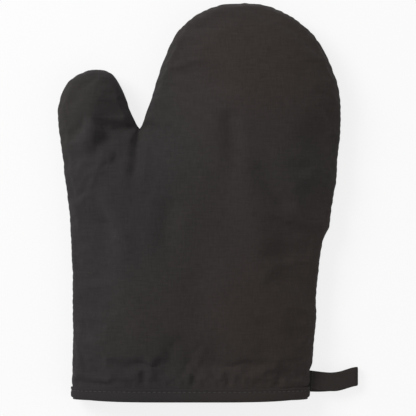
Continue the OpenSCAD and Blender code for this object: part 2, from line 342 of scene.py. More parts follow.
# ---- The mitt's shape, in millimetres from the middle of the hem ----
def curve(knots: Sequence[Sequence[float]], steps: int) -> Array:
    """A smooth line through knots.

    Args:
        knots: the points it passes through.
        steps: points to each stretch.

    Returns:
        Its points, without the last knot.
    """
    k = np.array(knots, float)
    last = len(k) - 1
    out = []
    for i in range(last):
        a, b, c, d = k[max(i - 1, 0)], k[i], k[i + 1], k[min(i + 2, last)]
        for t in np.arange(steps) / steps:
            out.append(0.5 * (2 * b + (c - a) * t + (2 * a - 5 * b + 4 * c - d) * t**2 + (3 * b - a - 3 * c + d) * t**3))
    return np.array(out)


@dataclass
class Shape:
    """The seam line and the depth of each face, by the same sizes as the frame's construction."""

    mitt_len: float = 275.0
    cuff_w: float = 165.0
    finger_w: float = 140.0
    crotch_x: float = 35.0
    crotch_y: float = 188.0
    thumb_w: float = 57.5
    thumb_len: float = 41.0
    fold_y: float = 130.0
    seam_z: float = 8.5
    rise: float = 28.5
    hem_rise: float = 22.0
    front_round: float = 60.0
    back_round: float = 18.0
    hem_y: float = 1.0
    wall_reach: float = 24.0
    binding_h: float = 9.5
    step_y: float = 119.0
    step_depth: float = 2.2
    line: Array = field(init=False)
    crotch: Array = field(init=False)
    fold_low: Array = field(init=False)
    fold_way: Array = field(init=False)
    fold_out: Array = field(init=False)
    middle: Array = field(init=False)

    def __post_init__(self) -> None:
        """Draws the seam line and finds the fold line and the frame's middle."""
        self.crotch = np.array([-self.crotch_x, self.crotch_y])
        cuff = np.array([self.cuff_w / 2, 0.0])

        def scaled(corner: Array, w: float, h: float, shares: Iterable[tuple[float, float]]) -> list[Array]:
            """Knots as shares of a width and a height from a corner."""
            return [corner + np.array([w * a, h * b]) for a, b in shares]

        thumb_side = scaled(-cuff, self.cuff_w / 2 - self.crotch_x - self.thumb_w, self.crotch_y,
                            [(0, 0), (-0.05, 0.35), (0.10, 0.62), (0.48, 0.82)])
        thumb_top = scaled(self.crotch, -self.thumb_w, self.thumb_len,
                           [(0.99, 0.05), (0.985, 0.40), (0.89, 0.74), (0.72, 0.93), (0.53, 1), (0.33, 0.93),
                            (0.20, 0.68), (0.09, 0.27), (0, 0)])
        finger_top = scaled(self.crotch, self.finger_w, self.mitt_len - self.crotch_y,
                            [(0, 0), (0.05, 0.23), (0.12, 0.57), (0.20, 0.80), (0.34, 0.955), (0.505, 1),
                             (0.67, 0.955), (0.825, 0.80), (0.94, 0.54), (0.995, 0.23), (0.996, 0.02)])
        outer_side = scaled(cuff, self.finger_w - self.crotch_x - self.cuff_w / 2, self.crotch_y,
                            [(0.83, 0.80), (0.60, 0.62), (0.40, 0.48), (0.27, 0.31), (0.11, 0.14), (0.03, 0.105), (0, 0)])
        steps = 12
        left = curve(thumb_side + thumb_top, steps)
        right = np.vstack([curve(finger_top + outer_side, steps), cuff])
        right = self._settled(right)
        left = self._scalloped(left)
        self.line = np.vstack([left, right])
        low = left[: len(thumb_side) * steps]
        k = int(np.argmin(np.abs(low[:, 1] - self.fold_y)))
        self.fold_low = low[k]
        way = self.crotch - self.fold_low
        self.fold_way = way / np.linalg.norm(way)
        self.fold_out = np.array([-self.fold_way[1], self.fold_way[0]])
        lo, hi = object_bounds()
        self.middle = np.array([self._box_middle_x(), self.mitt_len / 2, 0.0])
        LOG.info("frame box %s %s", [round(v, 4) for v in lo], [round(v, 4) for v in hi])

    def _box_middle_x(self) -> float:
        """The frame's origin across the cuff, from where the hem's own box lies."""
        lo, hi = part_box("cuff_binding")
        return -(lo[0] + hi[0]) / 2 / MM + 0.5 * (self._hem_right() - self.cuff_w / 2)

    def _hem_right(self) -> float:
        """How far out the outer side is at the binding's upper edge."""
        right = self.line[self.line[:, 0] > 0]
        return float(right[np.argmin(np.abs(right[:, 1] - self.binding_h)), 0])

    def _settled(self, line: Array) -> Array:
        """The outer side, with the small step where its seam was turned unevenly."""
        y = line[:, 1]
        dent = smooth((self.step_y - y) / 6) * smooth((y - 30) / 60)
        on = (line[:, 0] > 60) & (y < self.step_y + 10)
        wave = 0.35 * np.sin(y / 5.1) * smooth((y - 20) / 20)
        return line - np.stack([np.where(on, self.step_depth * dent, 0) + np.where(line[:, 0] > 75, wave, 0), 0 * y], 1)

    def _scalloped(self, line: Array) -> Array:
        """The thumb's side, with the small scallops of a gathered seam."""
        y = line[:, 1]
        wave = 0.4 * np.sin(y / 4.3) * np.sin(y / 11.0) * smooth((y - 15) / 20) * smooth((180 - y) / 20)
        return line + np.stack([wave, 0 * y], 1)

    def warp(self, d: Array) -> Array:
        """Distance from the seam in plan, for a distance along the cloth near the seam."""
        share = np.clip(d / self.wall_reach, 0, 1)
        return np.where(d < self.wall_reach, self.wall_reach * (1.5 * share**1.5 - 0.5 * share**2.5), d)

    def place(self, flat: Array, d: Array, inward: Array, side: Side, k: Array | float) -> Array:
        """Points of the surface that lies k inside a face's outer surface.

        Args:
            flat: points of the flat cloth.
            d: their distance from the seam line.
            inward: the way from the seam line at each.
            side: the face.
            k: the depth below the face's surface.

        Returns:
            Points in space.
        """
        t = self.warp(d)
        front = side is Side.FRONT
        round_r = self.front_round if front else self.back_round
        height = self.hem_rise + (self.rise - self.hem_rise) * smooth(flat[:, 1] / 90) if front else self.seam_z
        share = np.clip((round_r - t) / round_r, 0, 1)
        up = (height - k) * np.sqrt(1 - share**2)
        shift = (t - d) + k * np.clip(1 - t / round_r, 0, 1)
        plan = flat + inward * np.reshape(shift, (-1, 1))
        return np.column_stack([plan, self.seam_z + (up if front else -up)])

    def to_frame(self, points: Array) -> Array:
        """Moves points from the hem's middle to the frame, in metres."""
        return (points - self.middle) * MM


@dataclass(frozen=True)
class Fold:
    """One groove or ridge of the front face: its path, its half-width and how far it sinks."""

    path: tuple[tuple[float, float], ...]
    width: float
    sink: float
    sharp: bool = False

    def depth(self, xy: Array) -> Array:
        """How far the cloth sinks at each point."""
        p = np.array(self.path, float)
        lengths = np.linalg.norm(np.diff(p, axis=0), axis=1)
        total = lengths.sum()
        best = np.full(len(xy), 1e9)
        along = np.zeros(len(xy))
        start = 0.0
        for a, b, reach in zip(p[:-1], p[1:], lengths):
            t = np.clip(((xy - a) @ (b - a)) / reach**2, 0, 1)
            dist = np.linalg.norm(xy - a - t[:, None] * (b - a), axis=1)
            nearer = dist < best
            best = np.where(nearer, dist, best)
            along = np.where(nearer, (start + t * reach) / total, along)
            start += reach
        fade = smooth(along / 0.18) * smooth((1 - along) / 0.35) * 0.9 + 0.1
        x = best / self.width
        groove = np.exp(-x) * 1.15 if self.sharp else np.exp(-(x**2))
        shoulder = 0.32 * np.exp(-(((x - 2.1) / 0.9) ** 2))
        return self.sink * fade * (groove - shoulder)


FOLDS = (
    Fold(((-36.5, 188.5), (-46, 186.5), (-56, 189), (-66, 194)), 2.5, 2.6, True),
    Fold(((-34, 188), (-27, 188.5), (-18, 184.5)), 2.0, 2.2, True),
    Fold(((-35.4, 187), (-36.5, 168), (-38.5, 146)), 3.0, 2.8, True),
    Fold(((-50.5, 183.5), (-60, 177), (-70, 165)), 4.6, 3.2),
    Fold(((-70.5, 197), (-74, 190), (-77, 183)), 3.2, 1.6),
    Fold(((-70, 149), (-61, 128), (-59, 92)), 5.5, 1.7),
    Fold(((-49, 121), (-44, 108), (-41, 94)), 5.0, -1.2),
    Fold(((25.5, 201), (27.5, 182), (30, 158)), 5.0, 2.0),
    Fold(((-10, 142), (-16, 120), (-15, 98)), 6.0, 1.6),
    Fold(((42, 165), (57, 146), (72, 124)), 6.5, 2.1),
    Fold(((34, 163), (41, 128), (56, 88)), 8.0, -1.4),
    Fold(((60, 112), (66, 96), (64, 76)), 7.0, 1.1),
    Fold(((0, 92), (8, 70), (4, 46)), 9.0, 1.1),
    Fold(((-31.3, 11), (-31.6, 15), (-32, 23)), 1.6, 3.0, True),
    Fold(((-27, 13), (-27, 24), (-26, 36)), 3.0, -1.3),
    Fold(((-79, 17), (-74, 13.2), (-52, 11.6)), 2.2, 2.6),
    Fold(((3, 11), (3, 15), (2, 20)), 1.6, 1.8, True),
    Fold(((27, 11), (26, 15), (24, 21)), 1.8, 1.8, True),
    Fold(((58, 11), (60, 14), (64, 21)), 1.7, 2.2, True),
    Fold(((-62, 66), (-48, 52), (-46, 30)), 9.0, 1.0),
    Fold(((46, 60), (52, 40), (50, 22)), 8.0, 1.2),
)


@dataclass
class Cloth:
    """The two faces as one net of triangles over the flat outline, sewn along the seam and open at the hem."""

    shape: Shape
    pitch: float = 2.5
    slack: float = 0.035
    pressure: float = 3.0
    frames: int = 20
    most_move: float = 3.6
    outer_t: float = 0.8
    pad_t: float = 4.9
    lining_t: float = 0.6
    gap: float = 0.1
    bind_in: float = 1.1
    fold_gain: float = 1.2
    flat: Array = field(init=False)
    faces: Array = field(init=False)
    d: Array = field(init=False)
    inward: Array = field(init=False)
    rim: Array = field(init=False)

    def __post_init__(self) -> None:
        """Lays the net and measures each point's distance from the seam."""
        self._lay_net()
        self._measure()

    def _lay_net(self) -> None:
        """Fills the outline with a net that follows its edge and the fold line."""
        line = self.shape.line.copy()
        line[:, 1] = np.maximum(line[:, 1], self.shape.hem_y)
        crotch_at = int(np.argmin(np.linalg.norm(line - self.shape.crotch, axis=1)))
        fold_at = int(np.argmin(np.linalg.norm(line - self.shape.fold_low, axis=1)))
        first = self._evenly(line[: fold_at + 1])
        second = self._evenly(line[fold_at: crotch_at + 1])
        third = self._evenly(line[crotch_at:])
        hem = self._evenly(np.array([third[-1], first[0]]))
        ring = np.vstack([first[:-1], second[:-1], third[:-1], hem[:-1]])
        fold_end = [len(first) - 1, len(first) + len(second) - 2]
        self.seam_count = len(first) + len(second) + len(third) - 2
        inner_fold = self._evenly(np.array([self.shape.fold_low, self.shape.crotch]))[1:-1]
        n = len(ring)
        fold_ids = [fold_end[0]] + list(range(n, n + len(inner_fold))) + [fold_end[1]]
        edges = [(i, (i + 1) % n) for i in range(n)] + list(zip(fold_ids[:-1], fold_ids[1:]))
        lo, hi = ring.min(0), ring.max(0)
        inside = []
        row = self.pitch * math.sqrt(3) / 2
        keep_off = np.vstack([ring, inner_fold])
        for j, y in enumerate(np.arange(lo[1] + row, hi[1], row)):
            xs = np.arange(lo[0] + (self.pitch / 2 if j % 2 else 0), hi[0], self.pitch)
            row_points = np.column_stack([xs, np.full(len(xs), y)])
            clear = np.min(np.linalg.norm(row_points[:, None] - keep_off[None], axis=2), axis=1) > self.pitch * 0.62
            inside.append(row_points[clear])
        points = np.vstack([ring, inner_fold] + inside)
        verts, _, faces, *_ = delaunay_2d_cdt([Vector(p) for p in points], edges, [list(range(n))], 1, 1e-5)
        self.flat = np.array([[v.x, v.y] for v in verts])
        tri = np.array([f for f in faces if len(f) == 3])
        a, b, c = (self.flat[tri[:, i]] for i in range(3))
        turn = (b[:, 0] - a[:, 0]) * (c[:, 1] - a[:, 1]) - (b[:, 1] - a[:, 1]) * (c[:, 0] - a[:, 0])
        tri[turn < 0] = tri[turn < 0][:, ::-1]
        self.faces = tri[np.abs(turn) > 1e-4]
        self.rim = np.arange(n)

    def _evenly(self, line: Array) -> Array:
        """The same line with its points about one pitch apart."""
        reach = np.concatenate([[0], np.cumsum(np.linalg.norm(np.diff(line, axis=0), axis=1))])
        count = max(2, int(round(reach[-1] / self.pitch)) + 1)
        s = np.linspace(0, reach[-1], count)
        return np.column_stack([np.interp(s, reach, line[:, i]) for i in (0, 1)])

    def _measure(self) -> None:
        """Finds each point's distance from the seam and the way in from it."""
        line = self.flat[: self.seam_count]
        best = np.full(len(self.flat), 1e9)
        near = np.zeros_like(self.flat)
        for a, b in zip(line[:-1], line[1:]):
            ab = b - a
            t = np.clip(((self.flat - a) @ ab) / (ab @ ab), 0, 1)
            q = a + t[:, None] * ab
            dist = np.linalg.norm(self.flat - q, axis=1)
            closer = dist < best
            best = np.where(closer, dist, best)
            near = np.where(closer[:, None], q, near)
        self.d = best
        way = (self.flat - near) / np.maximum(best, 1e-6)[:, None]
        seam = np.arange(self.seam_count)
        ahead = line[np.minimum(seam + 1, self.seam_count - 1)] - line[np.maximum(seam - 1, 0)]
        ahead /= np.linalg.norm(ahead, axis=1)[:, None]
        way[seam] = np.column_stack([ahead[:, 1], -ahead[:, 0]])
        pairs = self._pairs()
        fixed = self.d < 1.2 * self.pitch
        for _ in range(14):
            mean = self._mean(way, pairs)
            way = np.where(fixed[:, None], way, mean)
        self.inward = way

    def _pairs(self) -> Array:
        """Each edge of the net, both ways."""
        f = self.faces
        e = np.vstack([f[:, [0, 1]], f[:, [1, 2]], f[:, [2, 0]]])
        return np.unique(np.vstack([e, e[:, ::-1]]), axis=0)

    def _mean(self, values: Array, pairs: Array) -> Array:
        """Each point's mean over its neighbours."""
        total = np.zeros_like(values)
        count = np.zeros(len(values))
        np.add.at(total, pairs[:, 0], values[pairs[:, 1]])
        np.add.at(count, pairs[:, 0], 1)
        return total / np.maximum(count, 1).reshape([-1] + [1] * (values.ndim - 1))

    def surface(self, side: Side, k: Array | float, eased: int = 6) -> Array:
        """Points of a layer's surface, with the ridges where two walls meet eased out.

        Args:
            side: the face.
            k: the depth below the face's outer surface.
            eased: how many times the heights are averaged.

        Returns:
            One point in space for each point of the net.
        """
        out = self.shape.place(self.flat, self.d, self.inward, side, k)
        pairs = self._pairs()
        free = (self.d > 9) & (self.flat[:, 1] > 6)
        for _ in range(eased):
            z = self._mean(out[:, 2], pairs)
            out[:, 2] = np.where(free, z, out[:, 2])
        return out

    def outer_depth(self) -> Array:
        """How far the outer cloth lies inside the mitt's full size: drawn in under the binding, plump just above."""
        y = self.flat[:, 1]
        drawn = self.bind_in * (1 - smooth((y - self.shape.binding_h) / 4))
        plump = -0.5 * np.exp(-(((y - 15) / 4) ** 2)) * smooth(self.d / 20)
        groove = 0.9 * np.exp(-((self.d / 1.3) ** 2)) * smooth((y - 11) / 9)
        return drawn + plump + groove

    def sewn(self) -> tuple[Array, Array, int]:
        """The two faces' outer surfaces as one net.

        Returns:
            Points, triangles, and how many points belong to the front alone or to the seam.
        """
        depth = self.outer_depth()
        front = self.surface(Side.FRONT, depth)
        back = self.surface(Side.BACK, np.where(self.d < 6, depth, np.maximum(depth, 0)))
        n = len(front)
        seam = np.arange(n) < self.seam_count
        back_id = np.where(seam, np.arange(n), n + np.cumsum(~seam) - 1)
        front[seam, 2] = self.shape.seam_z
        points = np.vstack([front, back[~seam]])
        faces = np.vstack([self.faces, back_id[self.faces][:, ::-1]])
        self.back_id = back_id
        return points, faces, n

    def gathered(self) -> Array:
        """The outer surface after the cloth has settled: padded out, puckered along the seam and folded.

        Returns:
            Points of the sewn net.
        """
        points, faces, n = self.sewn()
        points = self._simulated(points, faces, n)
        sink = self.fold_gain * sum(fold.depth(self.flat) for fold in FOLDS)
        sink = sink * smooth(self.d / 5)
        normal = self._normals(points, faces)
        points[:n] -= normal[:n] * sink[:, None]
        return points

    def _normals(self, points: Array, faces: Array) -> Array:
        """Unit normals at each point of a net."""
        a, b, c = (points[faces[:, i]] for i in range(3))
        fn = np.cross(b - a, c - a)
        out = np.zeros_like(points)
        for i in range(3):
            np.add.at(out, faces[:, i], fn)
        return out / np.maximum(np.linalg.norm(out, axis=1), 1e-9)[:, None]

    def _simulated(self, points: Array, faces: Array, n: int) -> Array:
        """Blows the front face up a little against its pinned seam, with spare cloth to pucker.

        Args:
            points: the sewn net.
            faces: its triangles.
            n: how many of its points are the front's.

        Returns:
            The settled points, none moved further than the limit.
        """
        hem = [i for i in range(self.seam_count - 1, len(self.rim))] + [0]
        mouth = hem + [int(self.back_id[i]) for i in reversed(hem[1:-1])]
        mesh = bpy.data.meshes.new("settling")
        mesh.from_pydata((points * MM).tolist(), [], faces.tolist() + [mouth])
        obj = bpy.data.objects.new("settling", mesh)
        bpy.context.collection.objects.link(obj)
        pins = obj.vertex_groups.new(name="pins")
        held = np.ones(len(points))
        free = (self.d > 0.6) & (self.flat[:, 1] > self.shape.binding_h + 2)
        held[:n] = np.where(free, 1 - smooth(self.d / 7) * smooth((self.flat[:, 1] - 11) / 8) * 0.999, 1)
        for i, weight in enumerate(held):
            pins.add([i], float(weight), "REPLACE")
        cloth = obj.modifiers.new("Cloth", "CLOTH")
        cloth.settings.quality = 6
        cloth.settings.mass = 0.25
        cloth.settings.tension_stiffness = 18
        cloth.settings.compression_stiffness = 18
        cloth.settings.shear_stiffness = 6
        cloth.settings.bending_stiffness = 1.2
        cloth.settings.use_pressure = True
        cloth.settings.uniform_pressure_force = self.pressure
        cloth.settings.vertex_group_mass = "pins"
        cloth.settings.shrink_min = -self.slack
        cloth.settings.effector_weights.gravity = 0.0
        cloth.point_cache.frame_start = 1
        cloth.point_cache.frame_end = self.frames
        scene = bpy.context.scene
        for frame in range(1, self.frames + 1):
            scene.frame_set(frame)
        done = obj.evaluated_get(bpy.context.evaluated_depsgraph_get()).to_mesh()
        settled = np.empty(len(points) * 3)
        done.vertices.foreach_get("co", settled)
        settled = settled.reshape(-1, 3) / MM
        scene.frame_set(1)
        bpy.data.objects.remove(obj)
        move = settled - points
        far = np.linalg.norm(move, axis=1)
        LOG.info("settled cloth moved %.2f mm at most, %.2f mm on average", far.max(), far[:n].mean())
        limit = self.most_move * np.tanh(far / self.most_move) / np.maximum(far, 1e-9)
        return points + move * limit[:, None]


# ---- Meshes ----
def make_object(name: str, points: Array, faces: Sequence[Sequence[int]], uv: Array | None = None,
                smooth_faces: bool = True) -> bpy.types.Object:
    """Makes a mesh object at the origin.

    Args:
        name: the piece's name.
        points: vertices in metres.
        faces: faces by vertex.
        uv: one cloth-map point for each vertex, in metres.
        smooth_faces: whether it is shaded smooth.

    Returns:
        The object, linked to the scene.
    """
    mesh = bpy.data.meshes.new(name)
    mesh.from_pydata(np.asarray(points).tolist(), [], [list(map(int, f)) for f in faces])
    if uv is not None:
        layer = mesh.uv_layers.new(name=CLOTH_MAP)
        corner = np.empty(len(mesh.loops), int)
        mesh.loops.foreach_get("vertex_index", corner)
        layer.data.foreach_set("uv", np.asarray(uv, float)[corner].ravel())
    mesh.polygons.foreach_set("use_smooth", [smooth_faces] * len(mesh.polygons))
    mesh.update()
    obj = bpy.data.objects.new(name, mesh)
    bpy.context.collection.objects.link(obj)
    return obj


def border(faces: Array) -> Array:
    """The edges that only one triangle has, in the direction that triangle runs."""
    e = np.vstack([faces[:, [0, 1]], faces[:, [1, 2]], faces[:, [2, 0]]])
    back = {(int(b), int(a)) for a, b in e}
    return np.array([(a, b) for a, b in e if (int(a), int(b)) not in back])


def walled(outer: Array, inner: Array, faces: Array) -> tuple[Array, list[list[int]]]:
    """A closed shell between two surfaces that share one net.

    Args:
        outer: points of the surface whose triangles face outwards.
        inner: points of the other.
        faces: the triangles.

    Returns:
        Points and faces of the shell.
    """
    n = len(outer)
    rim = border(faces)
    walls = [[int(b), int(a), int(a) + n, int(b) + n] for a, b in rim]
    return np.vstack([outer, inner]), faces.tolist() + (faces[:, ::-1] + n).tolist() + walls


def compact(points: Array, faces: Array, *extra: Array) -> tuple[Array, Array, list[Array]]:
    """Keeps only the points that the faces use."""
    used, index = np.unique(faces, return_inverse=True)
    return points[used], index.reshape(faces.shape), [e[used] for e in extra]


def replaced(obj: bpy.types.Object, node: str, material: bpy.types.Material) -> None:
    """Dresses a piece and lets it stand for a frame node."""
    obj.data.materials.clear()
    obj.data.materials.append(material)
    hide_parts(node)


@dataclass
class Faces:
    """The quilted faces: outer cloth, wadding and lining, each divided at the thumb's fold line."""

    cloth: Cloth
    blend_reach: float = 46.0
    wrinkle: float = 0.35

    def build(self) -> None:
        """Builds all twelve layers."""
        shape = self.cloth.shape
        settled = self.cloth.gathered()
        _, sewn_faces, n = self.cloth.sewn()
        self._outer(settled, sewn_faces, n)
        pairs = self.cloth._pairs()
        for side in Side:
            index = np.arange(n) if side is Side.FRONT else self.cloth.back_id
            faces = self.cloth.faces if side is Side.FRONT else self.cloth.faces[:, ::-1]
            over = settled[index]
            normal = self.cloth._normals(settled, sewn_faces)[index]
            mean = self.cloth._mean(over, pairs)
            relief = np.linalg.norm(over - mean, axis=1)[:, None]
            top = 0.5 * (over + mean) - normal * (self.cloth.outer_t + self.cloth.gap + 0.3 + 1.5 * relief)
            seam = slice(0, self.cloth.seam_count)
            inset = 1.0 + 1.2 * (1 - smooth((self.cloth.flat[seam, 1:2] - 14) / 8))
            top[seam] = over[seam] - normal[seam] * inset
            under = self.cloth.surface(side, self.cloth.pad_t)
            self._layer("wadding", side, top, under, faces, WADDING.material(), None)
            crease = self._creases(side)
            near = self.cloth.surface(side, self.cloth.pad_t + self.cloth.gap)
            far = self.cloth.surface(side, self.cloth.pad_t + self.cloth.gap + self.cloth.lining_t)
            far[:, 2] += crease
            near[:, 2] += crease * 0.5
            self._layer("lining", side, near, far, faces, LINING.material(), True)
        LOG.info("layers done, %d net points, %d pairs", len(shape.line), len(pairs))

    def _creases(self, side: Side) -> Array:
        """Small wrinkles of the lining, which lies a little loose."""
        x, y = self.cloth.flat[:, 0], self.cloth.flat[:, 1]
        wave = np.sin(x / 7.3 + 1.4 * np.sin(y / 31)) * np.sin(y / 23 + x / 60)
        lean = -1.0 if side is Side.FRONT else 1.0
        return lean * self.wrinkle * (1 + wave) * smooth(self.cloth.d / 25)

    def _is_thumb(self, faces: Array) -> Array:
        """Which triangles of the flat net lie beyond the fold line, on the thumb."""
        shape = self.cloth.shape
        mid = self.cloth.flat[faces].mean(1)
        beyond = (mid - shape.crotch) @ shape.fold_out > 0
        before_crotch = (mid - shape.crotch) @ shape.fold_way < 0
        return beyond & (before_crotch | (mid[:, 0] < shape.crotch[0]))

    def _split(self, obj: bpy.types.Object, part: Part) -> None:
        """Makes a piece ride: the hand's rigidly with the hand's body; the thumb's stays in place, its transform baked.
        """
        if part is Part.HAND:
            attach(obj, part.body)
            return
        shape = self.cloth.shape
        start = np.append(shape.crotch, shape.seam_z)
        end = start + np.append(shape.fold_out, 0) * self.blend_reach
        tuple(shape.to_frame(start))
        tuple(shape.to_frame(end))
        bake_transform(obj)

    def _layer(self, layer: str, side: Side, outer: Array, inner: Array, faces: Array,
               material: bpy.types.Material, sheet: bool | None) -> None:
        """Builds one layer of one face, in its two divisions."""
        shape = self.cloth.shape
        thumb = self._is_thumb(faces)
        for part in Part:
            chosen = faces[thumb if part is Part.THUMB else ~thumb]
            out, tri, (inn, flat) = compact(outer, chosen, inner, self.cloth.flat)
            points, shell = walled(out, inn, tri)
            node = f"{layer}_{side.value}{part.value}"
            obj = make_object(f"{node}_cloth", shape.to_frame(points), shell, np.vstack([flat, flat]) * MM)
            self._split(obj, part)
            replaced(obj, node, material)
            if sheet:
                self._declare(flat, tri)
            LOG.info("%s: %d faces", obj.name, len(shell))

    def _declare(self, flat: Array, tri: Array) -> None:
        """Works out a layer of cloth's flat-cut size and the share of it the cloth fills, and keeps neither."""
        a, b, c = (flat[tri[:, i]] for i in range(3))
        area = 0.5 * np.abs(np.cross(b - a, c - a)).sum()
        size = (flat.max(0) - flat.min(0) + 12) * MM
        share = min(1.0, area * MM * MM * 1.12 / (size[0] * size[1]))
        float(size[0] * size[1] * share)

    def _outer(self, points: Array, faces: Array, n: int) -> None:
        """Builds the outer cloth: the sewn net subdivided whole, then divided, so that no cut shows."""
        shape = self.cloth.shape
        half = len(self.cloth.faces)
        thumb = self._is_thumb(self.cloth.faces)
        group = np.concatenate([thumb * 2, thumb * 2 + 1]).astype(int)
        uv = np.zeros((len(points), 2))
        uv[:n] = self.cloth.flat
        uv[self.cloth.back_id] = self.cloth.flat
        whole = make_object("whole", shape.to_frame(points), faces, uv * MM)
        for i in range(4):
            whole.data.materials.append(None)
        whole.data.polygons.foreach_set("material_index", group)
        refine = whole.modifiers.new("refine", "SUBSURF")
        refine.levels = refine.render_levels = 1
        done = bpy.data.meshes.new_from_object(whole.evaluated_get(bpy.context.evaluated_depsgraph_get()))
        bpy.data.objects.remove(whole)
        co = np.empty(len(done.vertices) * 3)
        done.vertices.foreach_get("co", co)
        co = co.reshape(-1, 3)
        nrm = np.empty(len(done.vertices) * 3)
        done.vertices.foreach_get("normal", nrm)
        nrm = nrm.reshape(-1, 3)
        quads = np.array([list(p.vertices) for p in done.polygons])
        which = np.array([p.material_index for p in done.polygons])
        layer = done.uv_layers[CLOTH_MAP].data
        uv_at = np.zeros((len(co), 2))
        corner = np.empty(len(done.loops), int)
        done.loops.foreach_get("vertex_index", corner)
        flat_uv = np.empty(len(done.loops) * 2)
        layer.foreach_get("uv", flat_uv)
        uv_at[corner] = flat_uv.reshape(-1, 2)
        material = OUTER.material()
        for value, (part, side) in enumerate([(p, s) for p in Part for s in Side]):
            out, quad, (normal, uv_part) = compact(co, quads[which == value], nrm, uv_at)
            inner = out - normal * self.cloth.outer_t * MM
            node = f"outer_{side.value}{part.value}"
            obj = self._shell(f"{node}_cloth", out, inner, quad, normal, uv_part)
            self._split(obj, part)
            replaced(obj, node, material)
            a = uv_part[quad]
            area = 0.5 * np.abs(np.cross(a[:, 2] - a[:, 0], a[:, 3] - a[:, 1])).sum()
            size = uv_part.max(0) - uv_part.min(0) + 0.016
            share = min(1.0, max(0.32, area * 1.14 / (size[0] * size[1])))
            float(size[0] * size[1] * share)
            LOG.info("%s: %d faces", obj.name, len(obj.data.polygons))
        bpy.data.meshes.remove(done)

    def _shell(self, name: str, out: Array, inner: Array, quad: Array, normal: Array, uv: Array) -> bpy.types.Object:
        """A closed sheet of cloth that is shaded by the whole mitt's normals, so that its cut edges don't show."""
        n = len(out)
        e = np.vstack([quad[:, [i, (i + 1) % 4]] for i in range(4)])
        back = {(int(b), int(a)) for a, b in e}
        walls = [[int(b), int(a), int(a) + n, int(b) + n] for a, b in e if (int(a), int(b)) not in back]
        faces = quad.tolist() + (quad[:, ::-1] + n).tolist() + walls
        obj = make_object(name, np.vstack([out, inner]), faces, np.vstack([uv, uv]))
        obj.data.normals_split_custom_set_from_vertices(np.vstack([normal, -normal]).tolist())
        return obj


